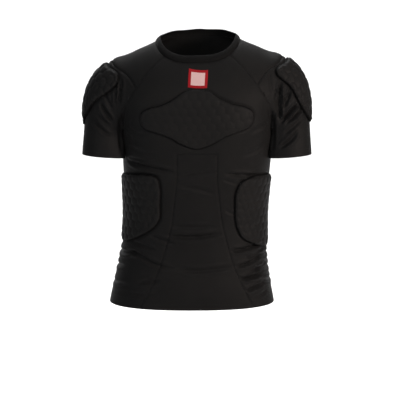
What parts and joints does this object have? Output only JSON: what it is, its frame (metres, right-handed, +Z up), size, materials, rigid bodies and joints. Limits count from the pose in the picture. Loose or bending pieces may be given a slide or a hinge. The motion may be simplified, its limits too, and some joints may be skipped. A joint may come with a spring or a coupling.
{
  "type": "padded compression shirt",
  "caption": "Short-sleeved, close-fitting knitted shirt kept in its worn hollow form, with quilted foam pads on the chest, flanks and shoulders and a round ribbed collar.",
  "frame": {"origin": "at the base of the neck, midway between the shoulders, where the wearer's shoulders hold the shirt up", "axes": "+Z up, -Y out of the chest, +X to the right as seen from the front"},
  "size_m": [0.5129, 0.2405, 0.6125],
  "materials": {
    "black_knit": "smooth stretch knit",
    "black_quilt": "knit over foam cells",
    "black_rib": "ribbed knit",
    "red_label": "woven label"
  },
  "bodies": {
    "root": {"collar": "black_rib", "front_body": "black_knit", "front_centre": "black_knit", "back_body": "black_knit", "yoke_left": "black_knit", "yoke_right": "black_knit", "sleeve_left": "black_knit", "sleeve_right": "black_knit", "chest_pad": "black_quilt", "rib_pad_left": "black_quilt", "rib_pad_right": "black_quilt", "shoulder_pad_left": "black_quilt", "shoulder_pad_right": "black_quilt", "chest_label": "red_label"}
  },
  "joints": []
}
